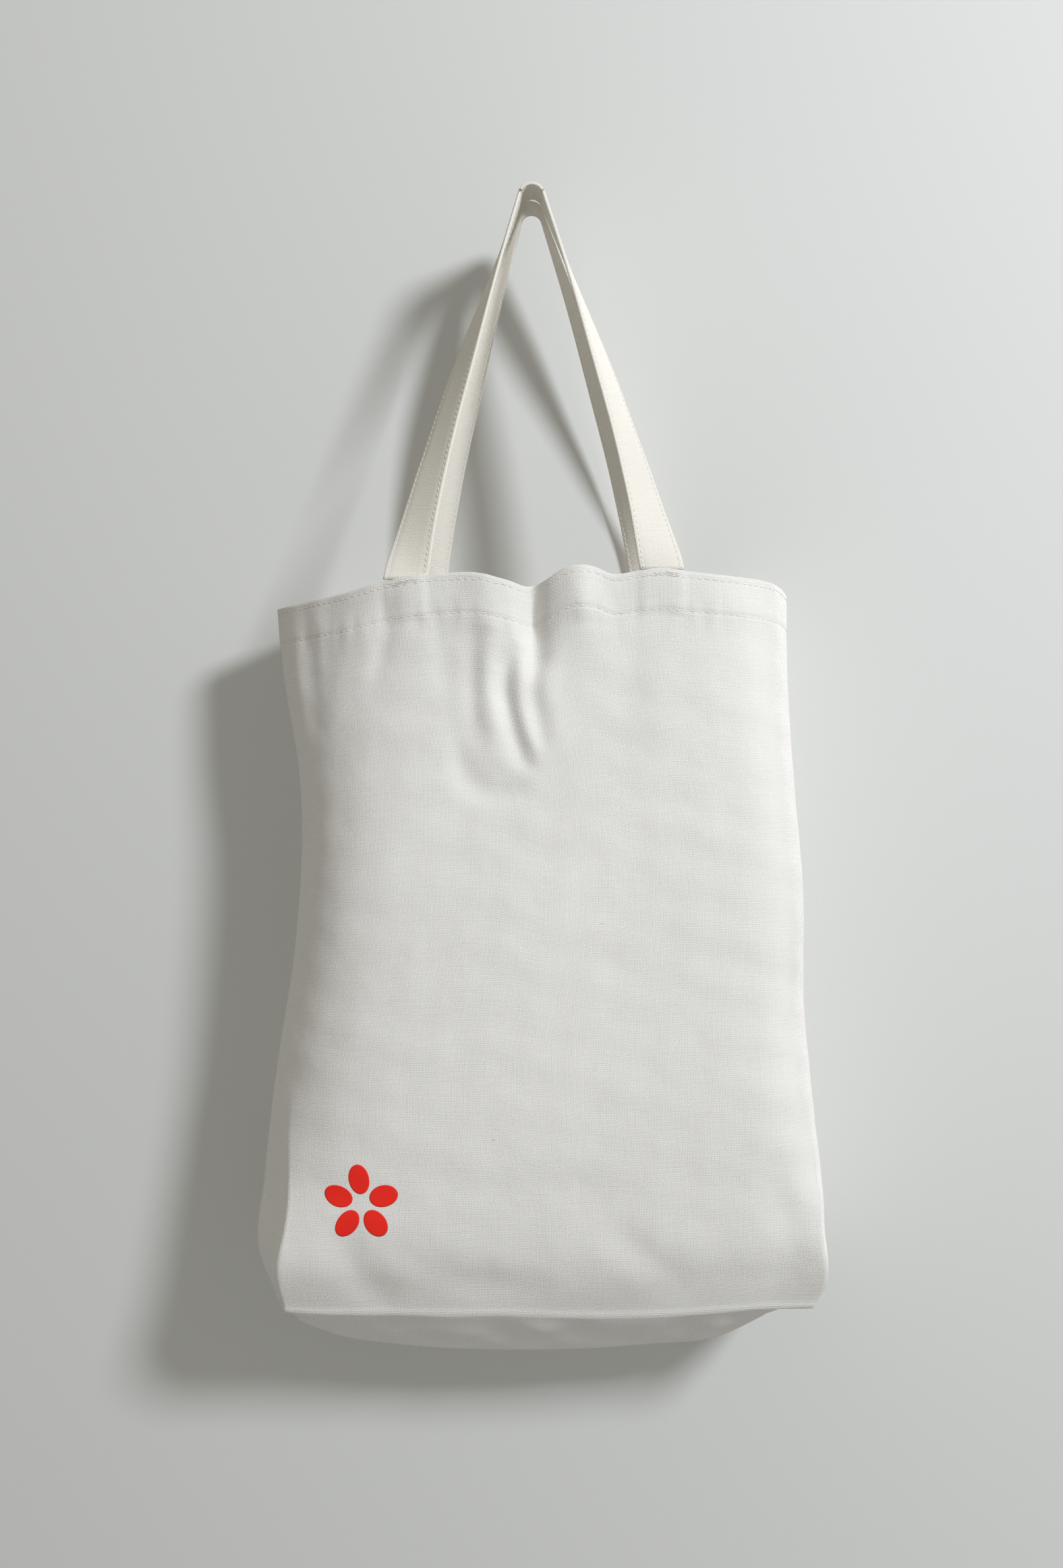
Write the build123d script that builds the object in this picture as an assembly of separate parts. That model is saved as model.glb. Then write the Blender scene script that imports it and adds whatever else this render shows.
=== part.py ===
from build123d import *
import os
from math import asin, atan2, cos, hypot, pi, sin

# Canvas tote bag, filled out and hanging by its two sewn-in shoulder straps.
# Millimetres. +Z is up, +X runs across the bag, and the printed front faces -Y.
# The origin is the hook seat: the underside of the straps' tops, midway between them.

# Cloth
canvas = 0.9            # one layer of the body canvas
fold_thickness = 1.6    # the turned-in layers of a hem or a seam allowance
layer_gap = 0.2         # air left between layers that are sewn together
thread = 0.4            # how far a row of stitches stands on the cloth
thread_width = 0.6
thread_gap = 0.05

# Bag body, outside sizes
rim_width = 342.0
rim_depth = 132.0
waist_width = 332.0
middle_width = 342.0
low_width = 362.0
hip_width = 380.0
base_width = 344.0
base_depth = 88.0
body_depth = 126.0
body_height = 472.0     # rim to the crease round the base
belly_sag = 36.0        # how far the filled base hangs under its crease
hem_depth = 25.0
hem_zone = 30.0         # the straight-sided band under the rim
rim_point = 12.0        # how sharply the rim is pinched at the side seams
rim_margin = 8.0        # flat rim left beyond each strap
side_reach = 59.0       # how far the rounded sides reach in from the side seams
base_reach = 12.0
rim_square = 0.55       # how square the rounded sides are: 0 is pointed, 1 is a box
body_square = 0.6
crease_square = 0.9
belly_square = 0.8

# Stitching
upper_row = 3.0         # upper hem stitches, below the rim
row_inset = 1.0         # lower hem stitches, in from the hem's turned edge
bartack_width = 24.0
bartack_height = 4.0
bartack_drop = 1.2
seam_allowance = 10.0

# Straps
strap_width = 28.0
strap_thickness = 2.6
strap_spacing = 166.0   # between the middles of one strap's two legs at the rim
strap_drop = 260.0      # hook seat to rim
strap_short = 3.0       # each strap end stops this far short of the hem's turned edge
strap_inset = 2.3       # rows of edge stitches, in from the strap's edges
strap_gap = 1.0         # from the middle plane to each strap, at the hook
hook_radius = 7.0
hinge_rise = 1.2        # the strap's fold line, over the rim
hinge_gap = 0.4         # fold line to where the free strap starts
twist_power = 1.6       # how the quarter turn of each leg is spread over its length
leg_steps = 10
arc_steps = 8

# Printed mark: a plain flower of five petals
mark_x = -113.0
mark_drop = 398.0       # rim to the mark's middle
petal_count = 5
petal_length = 19.0
petal_width = 13.5
petal_place = 15.5      # from the mark's middle to a petal's middle
ink = 0.15

# Worked out from the sizes above
rim_z = -strap_drop
hem_zone_z = rim_z - hem_zone
crease_z = rim_z - body_height
bottom_z = crease_z - belly_sag
lower_row = hem_depth - row_inset
strap_sewn = hem_depth - strap_short
far = 1000.0            # longer than the whole bag
past = 1.0              # how far a cut reaches past what it cuts
# Share of the way from rim to crease, and the bag's width there
body_levels = ((0.29, waist_width), (0.51, middle_width), (0.69, low_width), (0.88, hip_width))
# Share of the base's size, and share of the belly's sag reached there
belly_levels = ((0.94, 0.36), (0.80, 0.78), (0.58, 1.0))


def outline(width, depth, reach, square, point, grow, z):
    """The bag's outline at one height: flat front and back joined by two rounded sides."""
    a, b = width / 2 + grow, depth / 2 + grow
    flat = width / 2 - reach
    near = flat + square * (a - flat)

    def side(x_sign, y_sign):
        return Bezier(
            (x_sign * flat, y_sign * b, z),
            (x_sign * near, y_sign * b, z),
            (x_sign * (a - point), y_sign * square * b, z),
            (x_sign * a, 0, z),
        )

    front = Line((-flat, -b, z), (flat, -b, z))
    back = Line((-flat, b, z), (flat, b, z))
    return Wire([front, side(1, -1), side(1, 1), back, side(-1, 1), side(-1, -1)])


def rim_outline(grow, z):
    """The outline in the straight-sided band under the rim, flat where the straps are sewn."""
    reach = rim_width / 2 - (strap_spacing + strap_width) / 2 - rim_margin
    return outline(rim_width, rim_depth, reach, rim_square, rim_point, grow, z)


def rim_band(grow, top_z, low_z):
    """A solid slice of the band under the rim, as wide as the bag plus grow all round."""
    return extrude(Face(rim_outline(grow, low_z)), amount=top_z - low_z, dir=(0, 0, 1))


def body(grow, top_z):
    """The bag's solid form, grown or shrunk all round: band, rounded body and sagging belly."""
    wires = [rim_outline(grow, hem_zone_z)]
    for share, width in body_levels:
        z = rim_z - share * body_height
        wires.append(outline(width, body_depth, side_reach, body_square, 0, grow, z))
    crease = outline(base_width, base_depth, base_reach, crease_square, 0, grow, crease_z)
    form = Solid.make_loft([*wires, crease])
    belly = [crease]
    for share, fall in belly_levels:
        z = crease_z - fall * belly_sag - grow
        width, depth = base_width * share, base_depth * share
        belly.append(outline(width, depth, base_reach, belly_square, 0, grow, z))
    form = form.fuse(Solid.make_loft(belly, ruled=True))
    return form.fuse(rim_band(grow, top_z, hem_zone_z)).clean()


def block(x0, x1, y0, y1, z0, z1):
    """A plain box between two corners."""
    centre = ((x0 + x1) / 2, (y0 + y1) / 2, (z0 + z1) / 2)
    return Pos(*centre) * Box(x1 - x0, y1 - y0, z1 - z0)


def within(shape, tool):
    """What a shape and a tool share, as one solid or a group of them."""
    solids = shape.intersect(tool).solids()
    return solids[0] if len(solids) == 1 else Compound(children=solids)


def half(shape, face):
    """The front (-1) or back (1) half of a shape."""
    y0, y1 = sorted((0, face * far))
    return within(shape, block(-far, far, y0, y1, -far, far))


def panels():
    """The two canvas panels. Each is half of the open shell, from side seam to side seam."""
    shell = body(0, rim_z) - body(-canvas, rim_z + past)
    return {"front_panel": half(shell, -1), "back_panel": half(shell, 1)}


def strap_end(side, face, slack=0.0):
    """The end of a strap, held between a panel and its hem. Slack makes the room round it."""
    x = side * strap_spacing / 2
    half_width = strap_width / 2 + slack
    outer = rim_depth / 2 - canvas - layer_gap + slack
    inner = outer - strap_thickness - 2 * slack
    y0, y1 = sorted((face * outer, face * inner))
    return block(x - half_width, x + half_width, y0, y1, rim_z - strap_sewn - slack, rim_z + slack)


def hems():
    """The turned-in top edges, a band of folded cloth inside each panel."""
    outer = -canvas - layer_gap
    low = rim_z - hem_depth
    band = rim_band(outer, rim_z, low) - rim_band(outer - fold_thickness, rim_z, low)
    for side in (-1, 1):
        for face in (-1, 1):
            band -= strap_end(side, face, layer_gap)
    return {"front_hem": half(band, -1), "back_hem": half(band, 1)}


def seams():
    """Seam allowances, standing in from the side seams, the base seam and the corner seams."""
    outer = -canvas - layer_gap
    thick = fold_thickness / 2
    form = body(outer, rim_z)
    under_hem = rim_z - hem_depth - layer_gap
    floor = crease_z + thick
    corner_top = floor + fold_thickness + layer_gap
    base_half = base_width / 2 + outer
    base_end = base_half - fold_thickness - seam_allowance - layer_gap
    corner_half = base_depth / 2 - base_reach
    bottom = block(-base_end, base_end, -thick, thick, bottom_z, floor)
    made = {"bottom_seam": within(form, bottom) - Pos(0, 0, seam_allowance) * form}
    for name, side in (("left", -1), ("right", 1)):
        x0, x1 = sorted((side * past, side * far))
        strip = block(x0, x1, -thick, thick, corner_top, under_hem)
        inside = Pos(-side * seam_allowance, 0, 0) * form
        made[f"{name}_side_seam"] = within(form, strip) - inside
        corner = base_half - fold_thickness
        x0, x1 = sorted((side * corner, side * (corner - seam_allowance)))
        made[f"{name}_corner_seam"] = block(
            x0, x1, -corner_half, corner_half, floor, floor + fold_thickness
        )
    return made


def hem_rows():
    """The two rows of stitches round the hem."""
    made = {}
    for name, drop in (("hem_stitch_upper", upper_row), ("hem_stitch_lower", lower_row)):
        top, low = rim_z - drop + thread_width / 2, rim_z - drop - thread_width / 2
        outside = rim_band(thread_gap + thread, top, low)
        made[name] = outside - rim_band(thread_gap, top, low)
    return made


def bartack(side, face):
    """A patch of back-and-forth stitches that locks a strap end to the rim."""
    x = side * strap_spacing / 2
    inner = rim_depth / 2 + thread_gap
    y0, y1 = sorted((face * inner, face * (inner + thread)))
    top = rim_z - bartack_drop
    patch = block(x - bartack_width / 2, x + bartack_width / 2, y0, y1, top - bartack_height, top)
    row = rim_z - upper_row
    reach = thread_width / 2 + thread_gap
    return patch - block(-far, far, -far, far, row - reach, row + reach)


def strap_path():
    """Frames along the front strap, from its right leg over the hook to its left leg.
    Each is (middle, direction across the strap, direction through the strap)."""
    ring = hook_radius + strap_thickness / 2
    foot_x = strap_spacing / 2
    foot_z = rim_z + hinge_rise + hinge_gap
    foot_y = -(rim_depth / 2 - canvas - layer_gap - strap_thickness / 2)
    top_y = -(strap_gap + strap_width / 2)
    centre_z = -hook_radius
    reach = hypot(foot_x, centre_z - foot_z)
    lean = atan2(foot_x, centre_z - foot_z) - asin(ring / reach)
    top_x, top_z = ring * cos(lean), centre_z + ring * sin(lean)
    along = Vector(top_x - foot_x, top_y - foot_y, top_z - foot_z).normalized()
    right = []
    for step in range(leg_steps):
        share = step / leg_steps
        middle = Vector(
            foot_x + (top_x - foot_x) * share,
            foot_y + (top_y - foot_y) * share,
            foot_z + (top_z - foot_z) * share,
        )
        turn = pi / 2 * (1 - (1 - share) ** twist_power)
        wide = Vector(cos(turn), sin(turn), 0)
        wide = (wide - along * wide.dot(along)).normalized()
        right.append((middle, wide, wide.cross(along).normalized()))
    right[0] = (right[0][0], Vector(1, 0, 0), Vector(0, -1, 0))
    arc = []
    for step in range(arc_steps + 1):
        angle = lean + (pi - 2 * lean) * step / arc_steps
        out = Vector(cos(angle), 0, sin(angle))
        arc.append((Vector(0, top_y, centre_z) + out * ring, Vector(0, 1, 0), out))
    left = []
    for middle, wide, out in reversed(right):
        flip = [Vector(-v.X, v.Y, v.Z) for v in (middle, wide, out)]
        left.append(tuple(flip))
    return right + arc + left


def strap_strip(across0, across1, out0, out1):
    """A strip along the whole strap, between two lines across it and two depths through it."""
    wires = []
    for middle, wide, out in strap_path():
        corners = ((across0, out0), (across1, out0), (across1, out1), (across0, out1))
        points = [middle + wide * w + out * o for w, o in corners]
        wires.append(Wire.make_polygon(points, close=True))
    return Solid.make_loft(wires, ruled=True)


def strap_rows():
    """Edge stitches: one row along each edge, on both faces of the strap."""
    face = strap_thickness / 2 + thread_gap
    middle = strap_width / 2 - strap_inset
    rows = []
    for edge in (-1, 1):
        across = sorted((edge * middle - thread_width / 2, edge * middle + thread_width / 2))
        for side in (-1, 1):
            depth = sorted((side * face, side * (face + thread)))
            rows.append(strap_strip(*across, *depth))
    return Compound(children=rows)


def printed_mark():
    """A thin film of ink on the front panel, low on the left."""
    film = body(thread_gap + ink, rim_z) - body(thread_gap, rim_z)
    centre = Location((mark_x, 0, rim_z - mark_drop), (90, 0, 0))
    petals = []
    for n in range(petal_count):
        turn = Rot(0, 0, 360 * n / petal_count)
        petals.append(turn * Pos(0, petal_place, 0) * Ellipse(petal_width / 2, petal_length / 2))
    shape = Sketch() + petals
    stamp = extrude(centre * shape, amount=far)
    return within(half(film, -1), stamp)


def handles():
    """Both straps with their stitching. The back ones mirror the front ones."""
    half_width = strap_width / 2
    strap = strap_strip(-half_width, half_width, -strap_thickness / 2, strap_thickness / 2)
    rows = strap_rows()
    return {
        "front_handle": strap,
        "front_handle_stitching": rows,
        "back_handle": mirror(strap, Plane.XZ),
        "back_handle_stitching": mirror(rows, Plane.XZ),
    }


def model():
    """Every node of the bag, by name."""
    nodes = {**panels(), **hems(), **seams(), **hem_rows(), **handles()}
    for face_name, face in (("front", -1), ("back", 1)):
        for side_name, side in (("left", -1), ("right", 1)):
            nodes[f"{face_name}_strap_end_{side_name}"] = strap_end(side, face)
            nodes[f"{face_name}_bartack_{side_name}"] = bartack(side, face)
    nodes["printed_mark"] = printed_mark()
    return nodes


os.makedirs("parts", exist_ok=True)
for name, shape in model().items():
    export_step(shape, f"parts/{name}.step")
    print(f"{name}: {len(shape.solids())} solids, {shape.volume:.0f} mm3")
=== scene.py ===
"""Canvas tote bag, filled out and hanging by its two shoulder straps.
Metres. +Z is up, +X runs across the bag, the printed front faces -Y, and the origin is the hook seat.
Cloth is measured on the flat panel: u across it from its middle, d down it from the rim."""
import math

import bmesh
import bpy
import numpy as np
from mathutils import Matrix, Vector


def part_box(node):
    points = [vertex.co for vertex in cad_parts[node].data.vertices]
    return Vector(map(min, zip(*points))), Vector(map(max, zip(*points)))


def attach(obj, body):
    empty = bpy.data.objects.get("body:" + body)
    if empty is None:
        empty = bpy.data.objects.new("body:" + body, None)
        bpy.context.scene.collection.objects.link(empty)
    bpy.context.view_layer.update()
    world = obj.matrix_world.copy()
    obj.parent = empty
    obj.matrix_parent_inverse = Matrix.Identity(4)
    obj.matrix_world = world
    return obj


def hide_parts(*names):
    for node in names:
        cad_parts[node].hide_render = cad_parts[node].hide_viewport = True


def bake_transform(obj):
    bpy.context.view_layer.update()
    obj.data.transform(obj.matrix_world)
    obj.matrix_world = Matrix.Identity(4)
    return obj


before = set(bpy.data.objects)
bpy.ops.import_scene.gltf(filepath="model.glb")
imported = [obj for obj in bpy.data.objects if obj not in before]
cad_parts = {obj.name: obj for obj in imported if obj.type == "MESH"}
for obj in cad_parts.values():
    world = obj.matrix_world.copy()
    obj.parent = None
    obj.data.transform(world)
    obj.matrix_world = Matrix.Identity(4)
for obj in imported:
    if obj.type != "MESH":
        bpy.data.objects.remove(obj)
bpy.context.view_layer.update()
mm = 0.001

# Bag body: two canvas panels, sewn up both sides, along the middle of the base and across
# each boxed corner. Filled, the sides round out, the base sags under its pressed crease, and
# the rim hangs in a fold between the straps.
rim_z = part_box("front_panel")[1].z
rim_y = -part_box("front_panel")[0].y
body_height = 472 * mm
side_cloth = 44 * mm                        # from a boxed corner to the side seam
belly_cloth = 60 * mm                       # from the crease to the base's middle seam
base_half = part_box("bottom_seam")[1].x + 12 * mm        # the crease runs 12 mm past the seam's ends
half_cloth = base_half + side_cloth
crease_z = rim_z - body_height
canvas_thick = 0.9 * mm
hem_deep = 25 * mm
hem_rows = (3 * mm, 24 * mm)                # how far down the two rows of hem stitches are
hem_pitch = 5.2 * mm
front, back = -1, 1
strap_x = {front: (-82 * mm, 82 * mm), back: (-78 * mm, 88 * mm)}  # middles of their sewn ends
strap_half = 14 * mm

# The filled bag's shape, in millimetres: how far each side stands out from the middle, and how
# deep the front and back are, by the distance down from the rim; and the rim's rise across it.
left_edge = (
    (0, 171), (45, 167), (112, 156.5), (240, 160), (306, 170), (390, 180), (445, 183), (472, 172),
)
right_edge = (
    (0, 171.5), (60, 172.5), (137, 177), (205, 182), (289, 183), (333, 187.5),
    (425, 197), (456, 196), (472, 187),
)
depth_of = {
    front: ((0, 66.5), (30, 64), (100, 63), (240, 68), (380, 68), (440, 60), (472, 45)),
    back: ((0, 66.5), (30, 63), (120, 60), (300, 63), (400, 61), (472, 44)),
}
rim_rise = {
    front: (
        (-216, -16), (-180, -14.5), (-138, -11), (-97, -3.6), (-68, -1), (-36, -0.6), (-17, -4.9),
        (1, -8.7), (10, -4), (21, 2.8), (32, 4.5), (43, 2.8), (51, -0.6), (70, 1), (84, 2.8),
        (103, 0.7), (129, -1.5), (180, -4), (216, -7),
    ),
    back: ((-216, -16), (-150, -9), (-84, -1), (0, -5), (84, 0), (150, -2), (216, -7)),
}


def through(points, at):
    """A smooth curve through a few (place, value) points, in millimetres, read at places in metres."""
    place, value = np.array(points, float).T * mm
    slope = np.gradient(value, place)
    i = np.clip(np.searchsorted(place, at) - 1, 0, len(place) - 2)
    gap = place[i + 1] - place[i]
    t = np.clip((at - place[i]) / gap, 0, 1)
    start = value[i] * (2 * t**3 - 3 * t**2 + 1) + slope[i] * gap * (t**3 - 2 * t**2 + t)
    return start + value[i + 1] * (3 * t**2 - 2 * t**3) + slope[i + 1] * gap * (t**3 - t**2)


def ease(low, high, at):
    """0 below low, 1 above high, and smooth between them."""
    t = np.clip((at - low) / (high - low), 0, 1)
    return t * t * (3 - 2 * t)


def ripples(seed, across, down, size, count=14):
    """Soft random waves over the cloth, about size long and 1 high."""
    rng = np.random.default_rng(seed)
    total = np.zeros(np.broadcast(across, down).shape)
    for _ in range(count):
        angle, phase = rng.uniform(0, 2 * math.pi, 2)
        wave = 2 * math.pi / (size * rng.uniform(0.7, 1.6))
        total += np.sin((across * math.cos(angle) + down * math.sin(angle)) * wave + phase)
    return total / math.sqrt(count)


def unit(vectors):
    """The same directions, with length 1."""
    return vectors / np.maximum(np.linalg.norm(vectors, axis=-1, keepdims=True), 1e-12)


def run_along(line):
    """How far along a line each of its points is."""
    return np.r_[0, np.cumsum(np.linalg.norm(np.diff(line, axis=0), axis=1))]


def outward(grid, face):
    """The cloth's outward direction at every point of a grid."""
    across, down = np.gradient(grid, axis=1), np.gradient(grid, axis=0)
    return unit(np.cross(across, down) * face)


def fold(u, d, points, height, width):
    """A soft ridge, or a trough where height is negative, along a curve drawn on the flat cloth."""
    place = np.array(points, float)
    t = np.linspace(0, 1, 40)
    knots = np.linspace(0, 1, len(place)) / mm
    line_u = through(np.column_stack([knots, place[:, 0]]), t)
    line_d = through(np.column_stack([knots, place[:, 1]]), t)
    apart = np.hypot(u[..., None] - line_u, d[..., None] - line_d)
    nearest = apart.argmin(-1)
    end = np.sin(np.pi * np.clip(0.12 + 0.76 * t[nearest], 0, 1)) ** 0.7
    return height * mm * end * np.exp(-((apart.min(-1) / (width * mm)) ** 2))


# Each fold is its line on the panel, as (across, down) points, then its height and its width.
front_folds = (
    (((1, -14), (1, 10), (1, 26), (4, 46)), -12.5, 9),
    (((-30, -12), (-32, 12), (-26, 36)), 4.5, 17),
    (((31, -12), (31, 12), (34, 34)), 7.5, 15),
    (((-30, 34), (-32, 70), (-24, 112)), 2.6, 9),
    (((-13, 44), (-19, 58), (-19, 78), (-8, 112)), -3.6, 6.5),
    (((-6, 52), (-9, 70), (-6, 88), (3, 108)), 2.4, 6.5),
    (((-1, 48), (1, 64), (7, 96)), -1.7, 6),
    (((9, 46), (10, 66), (17, 100)), 1.4, 8),
    (((-41, 40), (-41, 98)), -1.4, 7),
    (((-64, 30), (-60, 84)), -1.1, 9),
    (((-56, 102), (-46, 128), (-30, 138), (-12, 134)), -2.4, 9),
    (((-101, -6), (-104, 30), (-112, 60)), -1.8, 8),
    (((-176, -8), (-170, 36), (-166, 80)), -1.5, 11),
    (((-150, 0), (-148, 30), (-154, 66)), -1.2, 10),
    (((-190, 20), (-184, 60), (-186, 110)), 1.2, 10),
    (((60, 8), (64, 60), (58, 120)), -1.4, 14),
    (((40, 404), (66, 432), (96, 450)), -2.0, 13),
    (((-128, 420), (-112, 442), (-100, 460)), -2.2, 12),
    (((-70, 440), (-40, 452), (-4, 456)), -1.3, 10),
    (((146, 380), (158, 424), (150, 458)), -2.2, 12),
    (((-196, 360), (-190, 410), (-176, 452)), -2.0, 12),
)
back_folds = (
    (((-6, -14), (-4, 14), (-2, 46)), -11, 10),
    (((26, -12), (28, 14), (24, 44)), 4.5, 15),
    (((-36, -12), (-34, 14), (-30, 44)), 4.5, 15),
    (((-20, 34), (-16, 84), (-6, 130)), -5, 8),
    (((12, 40), (14, 96)), -3.6, 8),
    (((-120, 6), (-128, 60)), -2.6, 9),
    (((124, 6), (130, 64)), -2.8, 9),
    (((-60, 400), (-20, 432), (30, 446)), -2.8, 10),
    (((90, 420), (120, 440), (150, 452)), -2.8, 10),
)
folds_of = {front: front_folds, back: back_folds}


def section_line(width_half, depth, power, root, corner, bow, u):
    """One level outline of a panel from side seam to side seam, read at cloth places u."""
    turn = np.linspace(-math.pi / 2, math.pi / 2, 721)
    x = np.sin(turn)
    rounder = 1 - 0.3 * ease(0.2, -0.6, x) + 0.7 * ease(0.2, 0.6, x)
    y = (1 - np.abs(x) ** (power * rounder)) ** root
    run = np.concatenate([[0], np.cumsum(np.hypot(np.diff(x) * width_half, np.diff(y) * depth))])
    at = np.interp(u, (-half_cloth, 0, half_cloth), (0, run[len(run) // 2], run[-1]))
    round_x, round_y = np.interp(at, run, x), np.interp(at, run, y)
    right_bow = bow + (1 - bow) * 0.55      # the right-hand corner is softer
    box_x = np.interp(u, (-half_cloth, -base_half, base_half, half_cloth), (-1, -bow, right_bow, 1))
    box_y = np.interp(np.abs(u), (base_half, half_cloth), (1, 0))
    return (
        width_half * (round_x + (box_x - round_x) * corner),
        depth * (round_y + (box_y - round_y) * corner),
    )


def panel_grid(face, u, d):
    """Where the cloth of one panel lies, from the rim to the crease round the base."""
    grid = np.zeros((len(d), len(u), 3))
    left, right = through(left_edge, d), through(right_edge, d)
    depth = through(depth_of[face], d)
    power = through(((0, 5000), (60, 6000), (160, 8500), (330, 8000), (472, 7500)), d)
    root = through(((0, 900), (70, 800), (200, 720), (340, 680), (472, 600)), d)
    corner = ease(300 * mm, 450 * mm, d) ** 1.4
    bow = through(((0, 860), (300, 860), (430, 872), (472, 930)), d)
    width_half = (left + right) / 2
    for row in range(len(d)):
        x, y = section_line(width_half[row], depth[row], power[row], root[row], corner[row], bow[row], u)
        grid[row, :, 0] = x + (right - left)[row] / 2
        grid[row, :, 1] = y * face
    share = d[:, None] / body_height
    low = crease_z - 3 * mm * np.cos(u / base_half * 1.3) - 4 * mm * ease(base_half, half_cloth, np.abs(u))
    low += 3 * mm * ease(40 * mm, base_half, u) + 0.7 * mm * ripples(5, u, 0 * u, 90 * mm)
    top = rim_z + through(rim_rise[face], u)
    grid[:, :, 2] = top + (low - top) * share
    uu, dd = np.meshgrid(u, d)
    lean = (right - left)[:, None] / 2
    lift = sum(fold(uu + lean, dd, *spec) for spec in folds_of[face])
    edge = ease(0, 40 * mm, half_cloth - np.abs(uu)) * ease(0, 30 * mm, body_height - dd)
    lift += 0.9 * mm * ripples(11 + face, uu, dd, 120 * mm) * edge * ease(0, 60 * mm, dd)
    lift += 0.25 * mm * ripples(21 + face, uu, dd, 38 * mm) * edge
    lift += 0.045 * mm * ripples(51 + face, uu, dd * 0.7, 13 * mm, 24) * edge
    pressed = np.exp(-(((body_height - dd) / (1.8 * mm)) ** 2))
    lift += 1.2 * mm * pressed * ease(0, 12 * mm, half_cloth - np.abs(uu))
    return grid + outward(grid, face) * lift[..., None], uu, dd


def hem_relief(uu, dd, strap_places):
    """What the hem adds to the outside: a little thickness, two stitch grooves, and strap ends."""
    inside = ease(hem_deep + 3 * mm, hem_deep - 2 * mm, dd)
    relief = 0.25 * mm * inside
    for row, deep in zip(hem_rows, (0.12, 0.42)):
        gather = 1 + 0.35 * np.sin(uu / hem_pitch * 2 * math.pi)
        relief -= deep * mm * gather * np.exp(-(((dd - row) / (1.3 * mm)) ** 2))
    for middle in strap_places:
        over = ease(strap_half + 2.5 * mm, strap_half - 1.5 * mm, np.abs(uu - middle))
        relief += 0.85 * mm * over * inside
    pucker = np.exp(-(((dd - hem_deep) / (9 * mm)) ** 2))
    return relief + 0.22 * mm * ripples(31, uu * 2.4, dd * 0.3, 22 * mm) * pucker


columns = np.concatenate([
    np.linspace(-half_cloth, -base_half, 19)[:-1],
    np.linspace(-base_half, base_half, 145)[:-1],
    np.linspace(base_half, half_cloth, 19),
])
rows = np.concatenate([np.linspace(0, 32 * mm, 33)[:-1], np.linspace(32 * mm, body_height, 177)])
base_steps = 18
sag_line = (
    (-172, 0), (-160, 15), (-138, 26), (-95, 34), (-30, 38), (30, 37),
    (70, 34), (112, 29), (138, 17), (158, 6), (172, 0),
)


def belly_grid(face, grid, u):
    """Half of the base: from the crease down and in to the middle seam, sagging under the load."""
    middle = np.abs(u) <= base_half + 1e-9
    edge = grid[-1, middle]
    ends = (grid[-1, :base_steps + 1][::-1], grid[-1, -base_steps - 1:])
    across = u[middle] / base_half
    seam = np.zeros_like(edge)
    seam[:, 0] = ends[0][-1, 0] + (ends[1][-1, 0] - ends[0][-1, 0]) * (across + 1) / 2
    seam[:, 2] = crease_z - 4 * mm - through(sag_line, across * base_half)
    made = []
    for step in range(base_steps + 1):
        share = step / base_steps
        row = edge + (seam - edge) * share
        row[:, 2] = edge[:, 2] + (seam[:, 2] - edge[:, 2]) * share**0.96
        for side, end in zip((0, -1), ends):
            pull = np.clip(across * (1 if side else -1), 0, 1) ** 12
            row = row + (end[step] - row[side]) * pull[:, None]
        made.append(row)
    made = np.array(made)
    t = np.linspace(0, 1, base_steps + 1)[:, None]
    calm = np.sin(np.pi * t) * np.clip(1 - np.abs(across) ** 6, 0, 1)
    made[..., 2] += 1.5 * mm * ripples(41 + face, u[middle] + t * 0, t * side_cloth, 34 * mm) * calm
    return made


class Panel:
    """One panel's cloth: its grid, and how to find a place on it from flat measures."""

    def __init__(self, face):
        grid, self.uu, self.dd = panel_grid(face, columns, rows)
        self.strap_u = {}
        for side, x in zip((-1, 1), strap_x[face]):
            self.strap_u[side] = columns[np.abs(grid[0, :, 0] - x).argmin()]
        relief = hem_relief(self.uu, self.dd, self.strap_u.values())
        self.grid = grid + outward(grid, face) * relief[..., None]
        self.out = outward(self.grid, face)
        self.belly = belly_grid(face, self.grid, columns)

    def at(self, u, d, lift=0.0):
        """(places, outward directions) at cloth places u, d, raised by lift."""
        i = np.interp(d, rows, np.arange(len(rows)))
        j = np.interp(u, columns, np.arange(len(columns)))
        i0 = np.minimum(i.astype(int), len(rows) - 2)
        j0 = np.minimum(j.astype(int), len(columns) - 2)
        a, b = (i - i0)[..., None], (j - j0)[..., None]

        def mixed(g):
            upper = g[i0, j0] * (1 - b) + g[i0, j0 + 1] * b
            return upper * (1 - a) + (g[i0 + 1, j0] * (1 - b) + g[i0 + 1, j0 + 1] * b) * a

        out = unit(mixed(self.out))
        return mixed(self.grid) + out * lift, out


panels = {face: Panel(face) for face in (front, back)}
face_name = {front: "front", back: "back"}


def make_piece(name, verts, faces, cloth=None, smooth=True):
    """A mesh piece in place, with each point's flat-cloth measure kept for its weave."""
    mesh = bpy.data.meshes.new(name)
    mesh.from_pydata([tuple(v) for v in verts], [], faces)
    mesh.validate()
    if cloth is not None:
        layer = mesh.attributes.new("cloth", "FLOAT_VECTOR", "POINT")
        layer.data.foreach_set("vector", np.asarray(cloth, np.float32).ravel())
    mesh.polygons.foreach_set("use_smooth", [smooth] * len(mesh.polygons))
    piece = bpy.data.objects.new(name, mesh)
    bpy.context.scene.collection.objects.link(piece)
    return piece


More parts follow.
